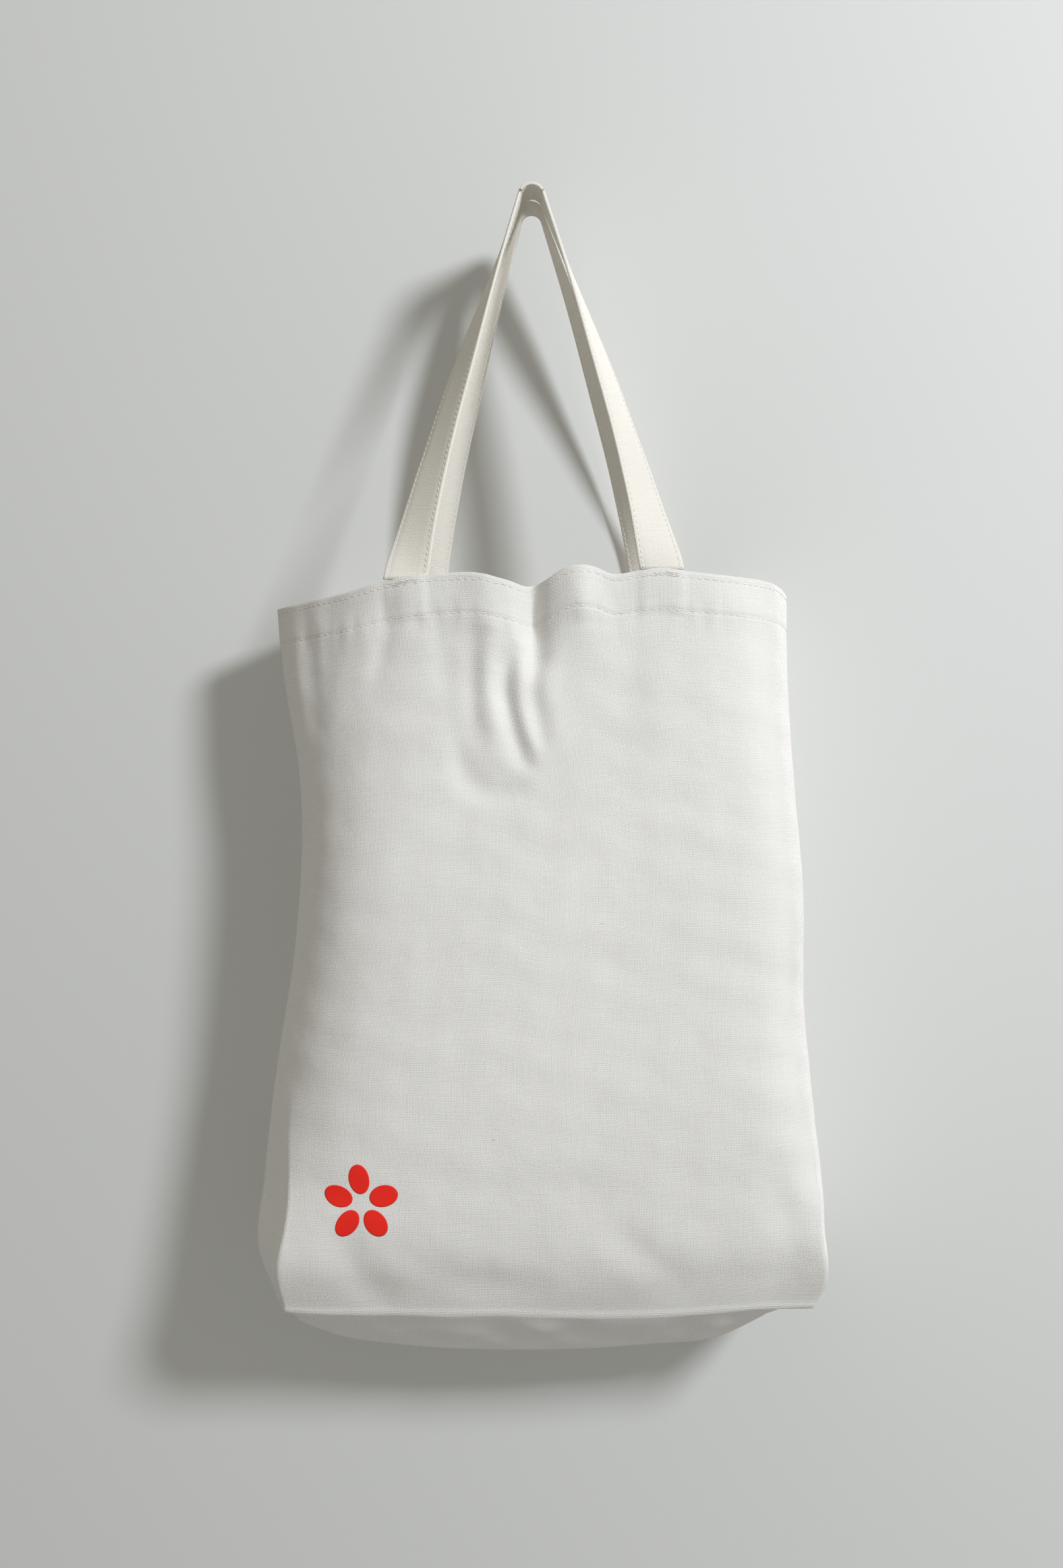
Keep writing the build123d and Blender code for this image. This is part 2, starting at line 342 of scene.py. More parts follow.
def grid_faces(n_rows, n_columns, start=0, closed=False, flip=False):
    """Quads between the points of a grid, closed round its columns if asked."""
    made = []
    for i in range(n_rows - 1):
        for j in range(n_columns if closed else n_columns - 1):
            k = (j + 1) % n_columns
            quad = [start + i * n_columns + j, start + i * n_columns + k,
                    start + (i + 1) * n_columns + k, start + (i + 1) * n_columns + j]
            made.append(quad[::-1] if flip else quad)
    return made


def thicken(piece, thickness):
    """Gives a sheet its real thickness, inwards, with the rims closed."""
    solid = piece.modifiers.new("thickness", "SOLIDIFY")
    solid.thickness, solid.offset, solid.use_even_offset = thickness, -1.0, False
    bpy.context.view_layer.objects.active = piece
    with bpy.context.temp_override(object=piece, active_object=piece):
        bpy.ops.object.modifier_apply(modifier=solid.name)


def panel_piece(face):
    """One panel as a single sheet: its upright part, and its half of the base."""
    panel = panels[face]
    n, m = panel.grid.shape[:2]
    verts = [*panel.grid.reshape(-1, 3)]
    cloth = [*np.dstack([panel.uu, panel.dd, 0 * panel.uu]).reshape(-1, 3)]
    faces = grid_faces(n, m, flip=face == front)
    first = base_steps
    last = m - 1 - base_steps
    previous = [(n - 1) * m + j for j in range(first, last + 1)]
    for step in range(1, base_steps + 1):
        current = []
        for j in range(first, last + 1):
            if j in (first, last):
                seam = first - step if j == first else last + step
                current.append((n - 1) * m + seam)
            else:
                current.append(len(verts))
                verts.append(panel.belly[step, j - first])
                cloth.append((columns[j], body_height + step / base_steps * belly_cloth, 0))
        for k in range(len(current) - 1):
            quad = [previous[k], previous[k + 1], current[k + 1], current[k]]
            faces.append(quad[::-1] if face == front else quad)
        previous = current
    piece = make_piece(f"{face_name[face]}_canvas_panel", verts, faces, cloth)
    thicken(piece, canvas_thick)
    return piece


class Dye:
    """A value on its way through a material's nodes. Sums on it add Math nodes."""

    def __init__(self, tree, socket=None):
        self.tree, self.socket = tree, socket

    def node(self, kind, settings=None, inputs=None, output=0):
        """Adds a node, with its settings first, then the values or links of its sockets."""
        made = self.tree.nodes.new(kind)
        for name, value in (settings or {}).items():
            setattr(made, name, value)
        for key, value in (inputs or {}).items():
            if isinstance(value, Dye):
                self.tree.links.new(value.socket, made.inputs[key])
            else:
                made.inputs[key].default_value = value
        return Dye(self.tree, made.outputs[output])

    def sum(self, operation, *values):
        """One Math node on values and numbers."""
        return self.node("ShaderNodeMath", {"operation": operation}, dict(enumerate(values)))

    def __add__(self, other):
        return self.sum("ADD", self, other)

    def __sub__(self, other):
        return self.sum("SUBTRACT", self, other)

    def __rsub__(self, other):
        return self.sum("SUBTRACT", other, self)

    def __mul__(self, other):
        return self.sum("MULTIPLY", self, other)

    def __truediv__(self, other):
        return self.sum("DIVIDE", self, other)

    __radd__, __rmul__ = __add__, __mul__

    def blend(self, low, high):
        """A colour between low and high, as this value goes from 0 to 1."""
        return self.node("ShaderNodeMix", {"data_type": "RGBA"}, {0: self, 6: low, 7: high}, 2)

    def split(self):
        """The first two parts of a vector: across and down the cloth."""
        parts = self.node("ShaderNodeSeparateXYZ", None, {0: self})
        return parts, Dye(self.tree, parts.socket.node.outputs[1])


def start_material(name, rough, sheen=0.0):
    """A new material: (material, its shader, a Dye to add nodes with)."""
    material = bpy.data.materials.new(name)
    material.use_nodes = True
    shader = material.node_tree.nodes["Principled BSDF"]
    shader.inputs["Roughness"].default_value = rough
    shader.inputs["Sheen Weight"].default_value = sheen
    shader.inputs["Sheen Roughness"].default_value = 0.6
    shader.inputs["Specular IOR Level"].default_value = 0.25
    return material, shader, Dye(material.node_tree)


def weave_height(dye, u, d, pitch_u, pitch_d):
    """The relief of a plain weave: warp and weft yarns crossing over and under each other."""
    across, down = u / pitch_u, d / pitch_d
    warp = dye.sum("ABSOLUTE", dye.sum("SINE", across * math.pi))
    weft = dye.sum("ABSOLUTE", dye.sum("SINE", down * math.pi))
    cell = dye.sum("FLOOR", across) + dye.sum("FLOOR", down)
    over = dye.sum("ROUND", dye.sum("FRACT", cell * 0.5) + 0.2)
    return over * (weft * 0.75 + warp * 0.25) + (1.0 - over) * (warp * 0.75 + weft * 0.25)


def canvas(name, tone, pitch_u=0.95 * mm, pitch_d=1.1 * mm):
    """Unbleached cotton canvas: plain weave, uneven yarns, faint clouds, slubs and dark flecks, with
    painted shade in the weave's hollows.
    """
    material, shader, dye = start_material(name, 0.92, 0.12)
    place = dye.node("ShaderNodeAttribute", {"attribute_name": "cloth"}, output=1)
    u, d = place.split()
    wander = dye.node("ShaderNodeTexNoise", None, {"Vector": place, "Scale": 90.0, "Detail": 2.0})
    kink = dye.node("ShaderNodeTexNoise", None, {"Vector": place, "Scale": 420.0, "Detail": 1.0})
    u = u + (wander - 0.5) * 0.0012 + (kink - 0.5) * 0.0009
    d = d + (wander - 0.5) * 0.0016 + (kink - 0.5) * 0.0011
    height = weave_height(dye, u, d, pitch_u, pitch_d)

    def yarn(scale_u, scale_d):
        scale = (scale_u, scale_d, 1.0)
        stretched = dye.node("ShaderNodeVectorMath", {"operation": "MULTIPLY"}, {0: place, 1: scale})
        return dye.node("ShaderNodeTexNoise", None, {"Vector": stretched, "Scale": 1.0, "Detail": 2.0})

    weft_yarn, warp_yarn = yarn(45.0, 900.0), yarn(1000.0, 40.0)
    fuzz = dye.node("ShaderNodeTexNoise", None, {"Vector": place, "Scale": 2600.0, "Detail": 2.0})
    clouds = dye.node("ShaderNodeTexNoise", None, {"Vector": place, "Scale": 7.0, "Detail": 3.0})
    spots = dye.node("ShaderNodeTexVoronoi", None, {"Vector": place, "Scale": 42.0})
    size = dye.node("ShaderNodeTexNoise", None, {"Vector": place, "Scale": 60.0})
    fleck = dye.sum("LESS_THAN", spots, 0.012 + (size - 0.5) * 0.09)
    dark, light = [(*[c * k for c in tone], 1.0) for k in (0.78, 1.08)]
    # The colour is lighter on the weave's raised yarns and darker in its hollows, which is painted shade;
    # the yarn, fuzz and cloud noise is the cloth's own uneven tone.
    tone_and_weave_shade = height * 0.32 + weft_yarn * 0.34 + warp_yarn * 0.24 + fuzz * 0.24 + clouds * 0.16 - 0.05
    colour = tone_and_weave_shade.blend(dark, light)
    colour = (fleck * 0.55).blend(colour, (0.20, 0.14, 0.08, 1.0))
    dye.tree.links.new(colour.socket, shader.inputs["Base Color"])
    relief = height * 0.7 + weft_yarn * 0.55 + warp_yarn * 0.4 + fuzz * 0.3
    bump = dye.node("ShaderNodeBump", None, {"Strength": 0.55, "Distance": 0.5 * mm, "Height": relief})
    dye.tree.links.new(bump.socket, shader.inputs["Normal"])
    rough = 0.86 + fuzz * 0.10
    dye.tree.links.new(rough.socket, shader.inputs["Roughness"])
    return material


def dress(piece, material, slot, body, *nodes):
    """Gives a piece its material and puts it on its body; its slot is not used."""
    piece.data.materials.clear()
    piece.data.materials.append(material)
    if body:
        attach(piece, body)
    if nodes:
        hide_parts(*nodes)
    return piece


canvas_tone = (0.810, 0.798, 0.768)
body_canvas = canvas("unbleached_canvas", canvas_tone)
for face in (front, back):
    dress(panel_piece(face), body_canvas, "body_canvas", "bag", f"{face_name[face]}_panel")

# Hem: the panels' top edges, turned in over themselves. The fold rolls over the rim, runs
# down inside to the lower stitch row, and its raw edge is tucked under.
hem_thick = 2.5 * mm


def face_outward(piece):
    """Turns every face of a closed piece to look out."""
    mesh = bmesh.new()
    mesh.from_mesh(piece.data)
    bmesh.ops.recalc_face_normals(mesh, faces=mesh.faces)
    mesh.to_mesh(piece.data)
    mesh.free()
    return piece


def hem_piece(face):
    """The rolled rim and the band inside it, as one closed tube of cloth."""
    panel = panels[face]
    top, out = panel.at(columns, 0 * columns)
    roll = hem_thick / 2
    profile = [(0.0, 0.0)]
    for step in range(1, 9):
        angle = math.pi * step / 8
        profile.append((-roll * (1 - math.cos(angle)), roll * 0.8 * math.sin(angle)))
    ring = []
    for inward, rise in profile:
        line = top + out * inward
        line[:, 2] += rise
        ring.append(line)
    for d in (4 * mm, 10 * mm, 17 * mm, 22.5 * mm, hem_deep):
        ring.append(panel.at(columns, 0 * columns + d, -hem_thick - 0.15 * mm * math.sin(d * 300))[0])
    ring.append(panel.at(columns, 0 * columns + hem_deep + 0.6 * mm, -hem_thick * 0.7)[0])
    ring.append(panel.at(columns, 0 * columns + hem_deep, -canvas_thick - 0.05 * mm)[0])
    ring.append(panel.at(columns, 0 * columns + 2 * mm, -canvas_thick - 0.05 * mm)[0])
    ring = np.array(ring)
    n, m = ring.shape[:2]
    verts = ring.transpose(1, 0, 2).reshape(-1, 3)
    along = run_along(ring[:, m // 2])
    cloth = [(columns[j], -along[i], 0) for j in range(m) for i in range(n)]
    faces = grid_faces(m, n, closed=True)
    faces += [list(range(n)), [(m - 1) * n + i for i in range(n)]]
    return face_outward(make_piece(f"{face_name[face]}_hem_fold", verts, faces, cloth))


hems = {}
for face in (front, back):
    hems[face] = dress(hem_piece(face), body_canvas, "body_canvas", "bag", f"{face_name[face]}_hem")

# Seams inside the bag: two raw edges sewn together and left standing about 10 mm, up each
# side, along the base and across each boxed corner, with an overlock stitch along the edge.
seam_wide, seam_thick = 10 * mm, 1.7 * mm


def fin(name, line, into, across):
    """A strip of doubled cloth standing on a seam line, closed all round."""
    n = len(line)
    wave = 0.7 * mm * np.sin(np.arange(n) * 0.9) + 0.4 * mm * np.sin(np.arange(n) * 0.37)
    ring = []
    for reach, half in ((0.6 * mm, 0.5), (3 * mm, 0.5), (7 * mm, 0.55), (seam_wide, 0.6),
                        (seam_wide, -0.6), (7 * mm, -0.55), (3 * mm, -0.5), (0.6 * mm, -0.5)):
        sway = (reach / seam_wide) ** 2 * wave
        ring.append(line + into * reach + across * (seam_thick * half + sway)[:, None])
    verts = np.array(ring).transpose(1, 0, 2).reshape(-1, 3)
    m = len(ring)
    faces = grid_faces(n, m, closed=True)
    faces += [list(range(m)), [(n - 1) * m + i for i in range(m)]]
    run = run_along(line)
    reaches = [0, 3, 7, 10, 11, 14, 18, 21]
    cloth = [(reaches[j] * mm, run[i], 0) for i in range(n) for j in range(m)]
    return face_outward(make_piece(name, verts, faces, cloth)), line + into * seam_wide


inward, rising = 0.75, 0.66                 # the slope at which a corner's seam stands
seam_edges = {}
side_rows = [i for i, d in enumerate(rows) if 27 * mm < d < body_height - 8 * mm]
for name, column, sign in (("left", 0, -1), ("right", -1, 1)):
    line = panels[front].grid[side_rows, column] * (1, 0, 1) - np.array((sign * canvas_thick, 0, 0))
    into = np.tile((-sign * 1.0, 0.0, 0.0), (len(line), 1))
    across = np.tile((0.0, 1.0, 0.0), (len(line), 1))
    piece, seam_edges[f"{name}_side_seam"] = fin(f"{name}_side_seam_allowance", line, into, across)
    dress(piece, body_canvas, "body_canvas", "bag", f"{name}_side_seam")
    corner = np.array([panels[f].grid[-1, k if sign < 0 else -1 - k]
                       for f, steps in ((front, range(base_steps - 1, 0, -1)), (back, range(0, base_steps)))
                       for k in steps])
    into = np.tile((-sign * inward, 0.0, rising), (len(corner), 1))
    across = np.tile((sign * rising, 0.0, inward), (len(corner), 1))
    piece, seam_edges[f"{name}_corner_seam"] = fin(
        f"{name}_corner_seam_allowance", corner + into * 1.5 * mm, into, across
    )
    dress(piece, body_canvas, "body_canvas", "bag", f"{name}_corner_seam")
line = panels[front].belly[-1][8:-8] * (1, 0, 1) + np.array((0, 0, canvas_thick))
upright = np.tile((0.0, 0.0, 1.0), (len(line), 1))
piece, seam_edges["bottom_seam"] = fin("bottom_seam_allowance", line, upright, upright[:, [0, 2, 1]])
dress(piece, body_canvas, "body_canvas", "bag", "bottom_seam")

# Thread: every row of stitches is separate short stitches of twisted cotton thread, each one
# raised in the middle and pulled into the cloth at its ends.
hem_stitch = (3.6 * mm, 0.62 * mm, 0.36 * mm)           # long, wide, high
overlock_stitch = (3.0 * mm, 0.5 * mm, 0.6 * mm)
overlock_pitch = 2.2 * mm


def stitches(name, centre, along, up, size):
    """Many small rounded stitches, one at each centre, lying along the row and standing up from it."""
    centre, along, up = np.vstack(centre), np.vstack(along), np.vstack(up)
    long, wide, high = size
    rng = np.random.default_rng(len(centre))
    stations = np.linspace(-1, 1, 7)
    turns = np.linspace(0, 2 * math.pi, 7)[:-1]
    thick = np.sqrt(np.clip(1 - stations**4, 0.06, 1))
    arch = 1 - 1.25 * stations**2
    side = unit(np.cross(up, along))
    tilt = rng.normal(0, 0.06, (len(centre), 1))
    along = along + side * tilt
    verts, cloth = [], []
    for s, t, a in zip(stations, thick, arch):
        for turn in turns:
            off = along * (s * long / 2) + side * (math.cos(turn) * wide / 2 * t)
            off = off + up * (high * 0.35 * a + math.sin(turn) * high / 2 * t)
            verts.append(centre + off)
            cloth.append((s * long / 2, turn / 6.3 * wide * 3, 0))
    verts = np.array(verts).transpose(1, 0, 2)
    count, each = verts.shape[:2]
    faces = []
    for k in range(count):
        start = k * each
        faces += grid_faces(len(stations), len(turns), start, closed=True)
        faces.append([start + i for i in range(len(turns))])
        faces.append([start + each - 1 - i for i in range(len(turns))])
    cloth = np.tile(np.array(cloth), (count, 1))
    return face_outward(make_piece(name, verts.reshape(-1, 3), faces, cloth))


def thread_material():
    """Twisted off-white thread: fine slanting plies, painted darker in the grooves between them as shade,
    and a slight gloss.
    """
    material, shader, dye = start_material("cotton_thread", 0.7, 0.2)
    place = dye.node("ShaderNodeAttribute", {"attribute_name": "cloth"}, output=1)
    plies = dye.node("ShaderNodeTexWave", {"bands_direction": "DIAGONAL"},
                     {"Vector": place, "Scale": 900.0, "Distortion": 1.5})
    # The plies' bands are lighter on their crowns and darker in the grooves between them: painted shade.
    colour = plies.blend((0.74, 0.72, 0.67, 1.0), (0.88, 0.865, 0.83, 1.0))
    dye.tree.links.new(colour.socket, shader.inputs["Base Color"])
    bump = dye.node("ShaderNodeBump", None, {"Strength": 0.6, "Distance": 0.0001, "Height": plies})
    dye.tree.links.new(bump.socket, shader.inputs["Normal"])
    return material


thread = thread_material()


def hem_row(name, down, node):
    """One row round the whole rim, showing outside on the panels and inside on the hem."""
    centre, along, up = [], [], []
    for face in (front, back):
        panel = panels[face]
        u = np.arange(-half_cloth + 3 * mm, half_cloth - 2 * mm, hem_pitch)
        wobble = 0.25 * mm * np.sin(u * 90) + 0.15 * mm * np.sin(u * 410)
        for lift, side in ((0.05 * mm, 1), (-hem_thick - 0.1 * mm, -1)):
            place = u if side > 0 else u + hem_pitch / 2
            here, out = panel.at(place, down + wobble, lift)
            ahead = panel.at(place + 1 * mm, down + wobble, lift)[0]
            centre.append(here)
            along.append(unit(ahead - here))
            up.append(out * side)
    piece = stitches(name, centre, along, up, hem_stitch)
    return dress(piece, thread, "cotton_thread", "bag", node)


upper_row = hem_row("upper_hem_stitches", hem_rows[0], "hem_stitch_upper")
lower_row = hem_row("lower_hem_stitches", hem_rows[1], "hem_stitch_lower")


def overlock(name, edge):
    """Zigzag stitches over the raw edge of a seam allowance."""
    run = run_along(edge)
    at = np.arange(1.5 * mm, run[-1] - 1 * mm, overlock_pitch)
    centre = np.column_stack([np.interp(at, run, edge[:, k]) for k in range(3)])
    ahead = np.column_stack([np.interp(at + 1 * mm, run, edge[:, k]) for k in range(3)])
    forward = unit(ahead - centre)
    across = np.tile((0.0, 1.0, 0.0), (len(at), 1))
    if "corner" in name:
        across = np.tile((rising, 0.0, inward), (len(at), 1))
    zig = forward * 0.45 + across * 0.9
    up = unit(np.cross(forward, across))
    piece = stitches(name, centre, zig, up, overlock_stitch)
    return dress(piece, thread, "cotton_thread", "bag")


for seam, edge in seam_edges.items():
    overlock(f"{seam}_overlock", edge)

# Bartacks: back-and-forth stitches of the same thread that lock each strap end to the rim.
# The machine runs over the place a few times, so they lie a little untidily.
bartack_half, bartack_count = 10 * mm, 26
bartack_lines = (1.4, 2.4, 3.6)             # millimetres under the rim
bartack_stitch = (3.0 * mm, 0.56 * mm, 0.34 * mm)


def bartack(face, side):
    """Three short lines of slanting stitches over one strap end, just under the rim."""
    rng = np.random.default_rng(7 + face + 3 * side)
    u = panels[face].strap_u[side] + rng.uniform(-bartack_half, bartack_half, bartack_count)
    d = (rng.choice(bartack_lines, bartack_count) + rng.normal(0, 0.2, bartack_count)) * mm
    here, out = panels[face].at(u, d, 0.1 * mm)
    slant = rng.normal(0, 0.2, bartack_count) * mm
    ahead = panels[face].at(u + 1 * mm, d + slant, 0.1 * mm)[0]
    along = unit(ahead - here)
    name = f"{face_name[face]}_bartack_{'left' if side < 0 else 'right'}"
    piece = stitches(name + "_stitches", here, along, out, bartack_stitch)
    return dress(piece, thread, "cotton_thread", "bag", name)


for face in (front, back):
    for side in (-1, 1):
        bartack(face, side)

# Straps: long tapes of canvas folded in four and stitched along both edges. Each leg leaves the
# hem flat and turns a quarter on its way up, so the tops lie side by side over the hook.
tape_thick = 2.4 * mm
hook_radius = 7 * mm
top_out = 15 * mm                           # each strap's middle from the hook's, side by side on it
end_deep = 23 * mm
stitch_place = 0.83                         # how far out each row of stitches is, of the half width
stitch_sunk = 0.22 * mm
strap_stitch, strap_pitch = (2.7 * mm, 0.6 * mm, 0.45 * mm), 3.8 * mm
twist = ((0, 0), (90, 250), (300, 510), (550, 670), (800, 880), (1000, 1000))


def tape_profile():
    """The tape's section: (across, through) points round it, pressed in along the stitch rows."""
    edge = [0.5, 0.76, 0.82, 0.86, 0.92, 0.97, 1]
    spread = np.array([-place for place in reversed(edge)] + [0] + edge)
    half = np.sqrt(np.clip(1 - np.abs(spread) ** 24, 0.12, 1)) * tape_thick / 2
    half -= 0.28 * mm * np.exp(-(((np.abs(spread) - stitch_place) / 0.035) ** 2))
    top = list(zip(spread * strap_half, half))
    return np.array(top + [(w, -h) for w, h in reversed(top)])


def leg_frames(face, side, top_y):
    """(middles, across, through) up one leg, from the rim to where it meets the hook's curve."""
    panel = panels[face]
    foot = panel.at(np.array([panel.strap_u[side]]), np.zeros(1), -hem_thick - tape_thick / 2)[0][0]
    ring = hook_radius + tape_thick / 2
    reach = math.hypot(foot[0], -hook_radius - foot[2])
    lean = math.atan2(abs(foot[0]), -hook_radius - foot[2]) - math.asin(ring / reach)
    top = np.array((side * ring * math.cos(lean), top_y, -hook_radius + ring * math.sin(lean)))
    share = np.linspace(0, 1, 105)
    middle = foot + (top - foot) * share[:, None]
    middle[:, 0] += side * 4.5 * mm * np.sin(math.pi * share**0.85)
    middle[:, 1] += -face * 1.5 * mm * np.sin(math.pi * share)
    turn = through(twist, share) * math.pi / 2
    turn = turn * (1 + 0.03 * side * np.sin(math.pi * share))
    across = np.column_stack([side * np.cos(turn), -face * np.sin(turn), 0 * turn])
    level = ease(0, 0.05, share)[:, None]
    ahead = unit(unit(np.gradient(middle, axis=0)) * level + np.array((0, 0, 1.0)) * (1 - level))
    across = unit(across - ahead * (across * ahead).sum(1, keepdims=True))
    return middle, across, np.cross(across, ahead) * (side * -face), lean


def strap_frames(face):
    """Frames of a whole strap, up its right leg, over the hook and down its left leg."""
    top_y = face * top_out
    right = leg_frames(face, 1, top_y)
    left = leg_frames(face, -1, top_y)
    ring = hook_radius + tape_thick / 2
    turn = np.linspace(right[3], math.pi - left[3], 16)[1:-1]
    out = np.column_stack([np.cos(turn), 0 * turn, np.sin(turn)])
    middle = out * ring + np.array((0, top_y, -hook_radius))
    across = np.tile((0.0, -face * 1.0, 0.0), (len(turn), 1))
    joined = []
    for k, arc in enumerate((middle, across, out)):
        joined.append(np.vstack([right[k], arc, left[k][::-1]]))
    return joined


def tape_piece(name, rings, run):
    """A closed tape through rings of points, each one a section of the tape, at places run along it."""
    n, m = rings.shape[:2]
    across = tape_profile()[:, 0]
    cloth = [(across[j], run[i], 0) for i in range(n) for j in range(m)]
    faces = grid_faces(n, m, closed=True)
    faces += [list(range(m)), [(n - 1) * m + i for i in range(m)]]
    return face_outward(make_piece(name, rings.reshape(-1, 3), faces, cloth))


strap_canvas = canvas("strap_canvas", (0.800, 0.770, 0.700), 0.95 * mm, 1.0 * mm)


def strap_stitch_row(name, middle, across, through_it, run):
    """Both rows of edge stitches on both faces of a strap."""
    at = np.arange(run[0] + 2.5 * mm, run[-1] - 2 * mm, strap_pitch)
    centre, along, up = [], [], []

    def read(values):
        return np.column_stack([np.interp(at, run, values[:, k]) for k in range(3)])

    mid, wide, out = read(middle), read(across), read(through_it)
    ahead = unit(read(np.gradient(middle, axis=0)))
    for edge in (-1, 1):
        for side in (-1, 1):
            depth = tape_thick / 2 - stitch_sunk
            centre.append(mid + wide * edge * strap_half * stitch_place + out * side * depth)
            along.append(ahead)
            up.append(out * side)
    return stitches(name, centre, along, up, strap_stitch)


def strap_end(face, side):
    """The sewn end of a strap, lying on the inside of the hem and following its curve."""
    panel = panels[face]
    sunk = -hem_thick - tape_thick / 2
    profile = tape_profile()
    d = np.linspace(end_deep, 0, 12)[:, None]
    wide = profile[:, 0]
    place, out = panel.at(panel.strap_u[side] + wide + 0 * d, d + 0 * wide)
    rings = place + out * (sunk + profile[:, 1:])
    name = f"{face_name[face]}_strap_end_{'left' if side < 0 else 'right'}"
    piece = tape_piece(name + "_tape", rings, -d[:, 0])
    dress(piece, strap_canvas, "strap_canvas", "bag", name)
    down = np.arange(2 * mm, end_deep - 2 * mm, strap_pitch)
    centre, along, up = [], [], []
    for edge in (-1, 1):
        u = panel.strap_u[side] + edge * strap_half * stitch_place + 0 * down
        here, out = panel.at(u, down, sunk - tape_thick / 2 + stitch_sunk)
        above = panel.at(u, down - 1 * mm, sunk - tape_thick / 2 + stitch_sunk)[0]
        centre.append(here)
        along.append(unit(above - here))
        up.append(-out)
    dress(stitches(name + "_stitches", centre, along, up, strap_stitch), thread, "cotton_thread", "bag")


for face in (front, back):
    for side in (-1, 1):
        strap_end(face, side)
    side_name = face_name[face]
    middle, across, through_it = strap_frames(face)
    run = run_along(middle)
    profile = tape_profile()
    rings = middle[:, None] + across[:, None] * profile[:, :1] + through_it[:, None] * profile[:, 1:]
    strap = tape_piece(f"{side_name}_strap_tape", rings, run)
    rows_piece = strap_stitch_row(f"{side_name}_strap_stitches", middle, across, through_it, run)
    dress(strap, strap_canvas, "strap_canvas", None, f"{side_name}_handle")
    dress(rows_piece, thread, "cotton_thread", None, f"{side_name}_handle_stitching")
    for piece in (strap, rows_piece):
        face * rim_y
        face * rim_y
        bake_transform(piece)

# For each panel, its hem and, on the front, the rows of stitches that hang with it are gathered in a list.
for face in (front, back):
    extra = [hems[face]] + ([upper_row, lower_row] if face == front else [])

# Printed mark: a plain flower of five petals, low on the left of the front. It is flat red ink,
# pressed through a screen onto the cloth, so the weave shows through it.
mark_u, mark_d = -120 * mm, 395 * mm
petal_half = (6.75 * mm, 9.5 * mm)
petal_place = 15.5 * mm


def petals():
    """Five thin films of ink lying on the cloth."""
    verts, faces, cloth = [], [], []
    rings, around = 9, 48
    for n in range(5):
        turn = 2 * math.pi * n / 5
        start = len(verts)
        flat = [(0.0, 0.0)]
        for ring in range(1, rings + 1):
            for k in range(around):
                angle = 2 * math.pi * k / around
                flat.append((petal_half[0] * ring / rings * math.cos(angle),
                             petal_half[1] * ring / rings * math.sin(angle)))
        flat = np.array(flat)
        across, out = flat[:, 0], flat[:, 1] + petal_place
        u = mark_u + across * math.cos(turn) + out * math.sin(turn)
        d = mark_d + across * math.sin(turn) - out * math.cos(turn)
        place = panels[front].at(u, d, 0.12 * mm)[0]
        verts += list(place)
        cloth += [(a, b, 0) for a, b in zip(u, d)]
        for k in range(around):
            faces.append([start, start + 1 + k, start + 1 + (k + 1) % around])
        for ring in range(rings - 1):
            for k in range(around):
                a, b = start + 1 + ring * around, start + 1 + (ring + 1) * around
                faces.append([a + k, b + k, b + (k + 1) % around, a + (k + 1) % around])
    piece = make_piece("printed_flower", verts, faces, cloth)
    thicken(piece, 0.1 * mm)
    return piece


def ink_material():
    """Flat red screen ink that dips between the yarns and misses a few of them, painted darker in the
    weave's hollows as shade.
    """
    material, shader, dye = start_material("red_ink", 0.6)
    place = dye.node("ShaderNodeAttribute", {"attribute_name": "cloth"}, output=1)
    height = weave_height(dye, *place.split(), 0.95 * mm, 1.1 * mm)
    wear = dye.node("ShaderNodeTexNoise", None, {"Vector": place, "Scale": 1400.0, "Detail": 3.0})
    # The ink is darker red in the weave's hollows, which is painted shade; the fine noise is the ink's own
    # uneven tone.
    tone_and_weave_shade = height * 0.5 + wear * 0.6 - 0.1
    colour = tone_and_weave_shade.blend((0.78, 0.012, 0.008, 1.0), (0.98, 0.032, 0.016, 1.0))
    dye.tree.links.new(colour.socket, shader.inputs["Base Color"])
    relief = height + wear * 0.3
    bump = dye.node("ShaderNodeBump", None, {"Strength": 0.5, "Distance": 0.15 * mm, "Height": relief})
    dye.tree.links.new(bump.socket, shader.inputs["Normal"])
    return material


dress(petals(), ink_material(), "red_ink", "bag", "printed_mark")

# Studio: a pale wall close behind the bag, which only shows from in front and blocks no light,
# a pale floor well below, one large soft light from the upper right and a gentle fill.


def plain_paint(name, colour):
    """Matt pale paint with the faintest mottle."""
    material, shader, dye = start_material(name, 0.95)
    mottle = dye.node("ShaderNodeTexNoise", None, {"Scale": 3.0, "Detail": 2.0})
    low, high = [(*[c * k for c in colour], 1.0) for k in (0.985, 1.015)]
    dye.tree.links.new(mottle.blend(low, high).socket, shader.inputs["Base Color"])
    return material, dye


def flat_stage(name, corners, material):
    """A flat piece of the studio, the wall or the floor."""
    piece = make_piece(name, corners, [[0, 1, 2, 3]], smooth=False)
    piece.data.materials.append(material)
    return piece


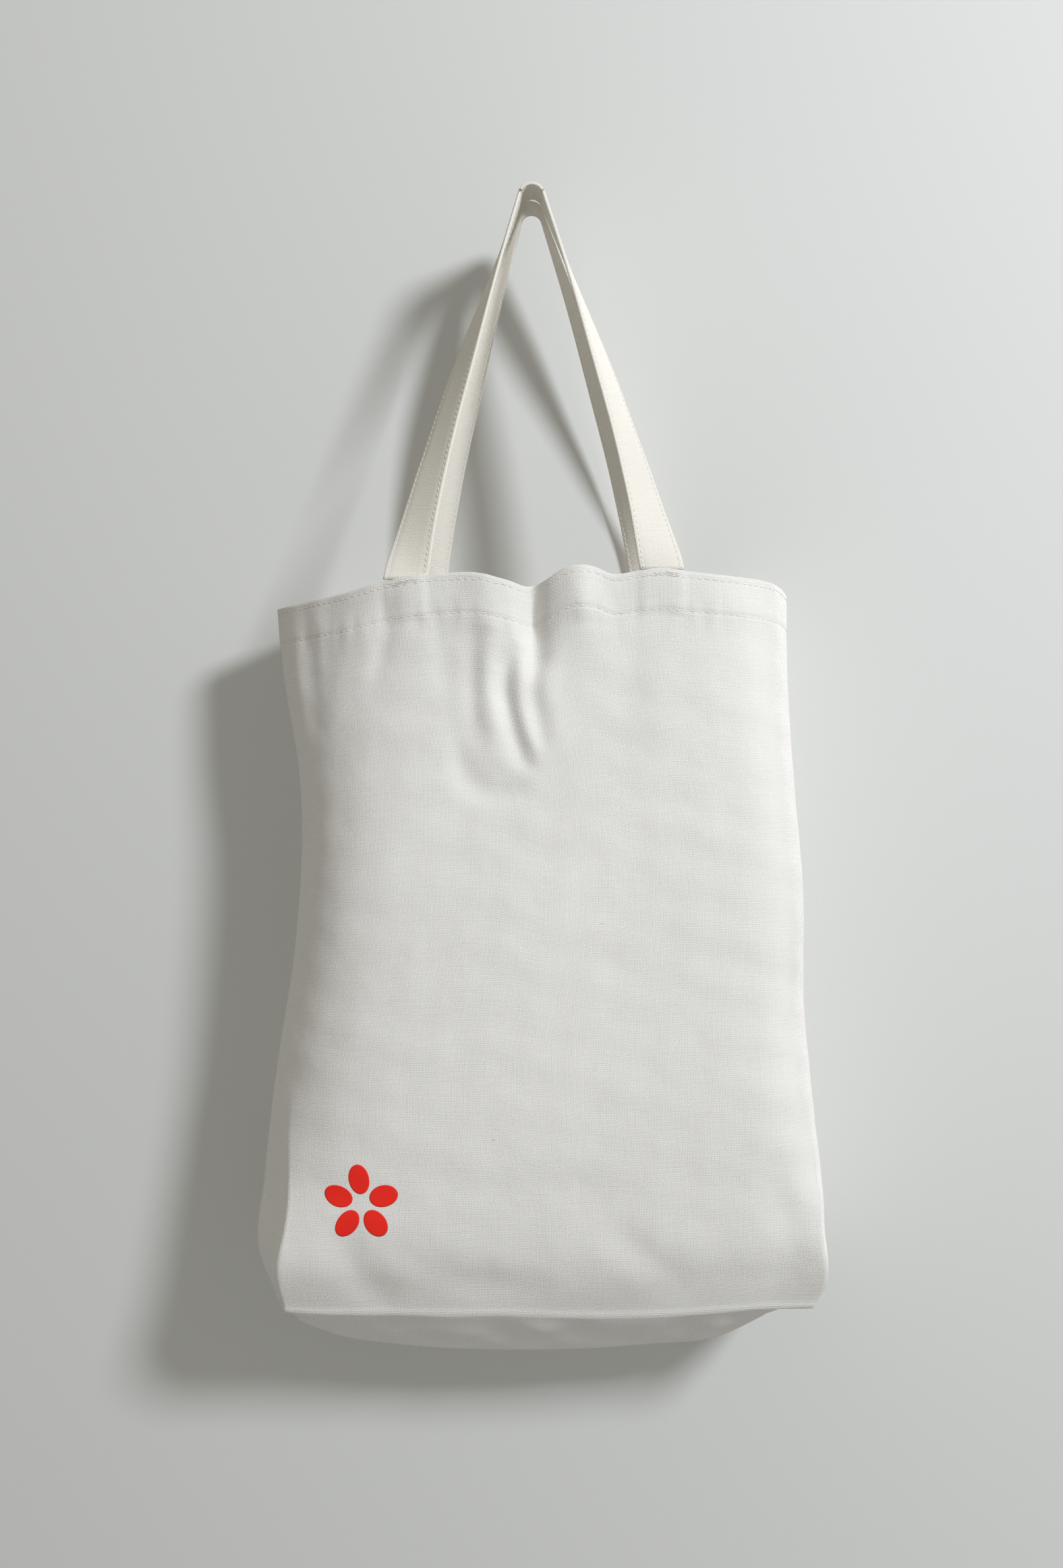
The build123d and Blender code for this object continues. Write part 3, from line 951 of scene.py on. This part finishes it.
wall_y = 70 * mm
floor_z = -1.3
wall_paint, dye = plain_paint("wall_paint", (0.635, 0.643, 0.630))
tree = wall_paint.node_tree
behind = dye.node("ShaderNodeNewGeometry", output=6)
clear = dye.node("ShaderNodeBsdfTransparent")
both = dye.node("ShaderNodeMixShader", None,
                {0: behind, 1: Dye(tree, tree.nodes["Principled BSDF"].outputs[0]), 2: clear})
tree.links.new(both.socket, tree.nodes["Material Output"].inputs["Surface"])
wall_half, wall_top, floor_half = 1.6, 1.2, 4.0
wall = flat_stage("wall", [(-wall_half, wall_y, floor_z), (wall_half, wall_y, floor_z),
                           (wall_half, wall_y, wall_top), (-wall_half, wall_y, wall_top)], wall_paint)
wall.visible_shadow = wall.visible_diffuse = wall.visible_glossy = False
floor_paint = plain_paint("floor_paint", (0.38, 0.38, 0.37))[0]
flat_stage("floor", [(-floor_half, -floor_half, floor_z), (floor_half, -floor_half, floor_z),
                     (floor_half, floor_half, floor_z), (-floor_half, floor_half, floor_z)], floor_paint)


def soft_light(name, place, aim, size, power, colour=(1, 1, 1)):
    """A round soft light, aimed at a place."""
    light = bpy.data.lights.new(name, "AREA")
    light.shape, light.size, light.energy, light.color = "DISK", size, power, colour
    lamp = bpy.data.objects.new(name, light)
    bpy.context.scene.collection.objects.link(lamp)
    lamp.location = place
    lamp.rotation_euler = (Vector(aim) - Vector(place)).to_track_quat("-Z", "Y").to_euler()


bag_middle = (0, 0, rim_z - body_height / 2)
soft_light("key", (1.45, -1.75, 0.75), bag_middle, 0.50, 53, (0.92, 0.95, 1.0))
soft_light("back_light", (1.4, 1.9, 0.5), bag_middle, 0.8, 40)
world = bpy.context.scene.world or bpy.data.worlds.new("studio")
bpy.context.scene.world = world
world.use_nodes = True
background = world.node_tree.nodes["Background"]
background.inputs["Color"].default_value = (1.0, 0.965, 0.875, 1)
background.inputs["Strength"].default_value = 0.425

# Camera: about a metre straight in front of the bag and level with its upper half. The upright
# view takes in the bag, its straps and some wall all round.
camera_far = 1.05
eye_z = -392.7 * mm
camera = bpy.data.objects.new("camera", bpy.data.cameras.new("camera"))
bpy.context.scene.collection.objects.link(camera)
camera.location = (0, -camera_far, eye_z)
camera.rotation_euler = (math.pi / 2, 0, 0)
view_high = 1.0564                          # what the upright view takes in at the straps' plane
camera.data.sensor_width = 36
camera.data.lens = 36 * camera_far / view_high
bpy.context.scene.camera = camera
bpy.context.scene.view_settings.view_transform = "Standard"
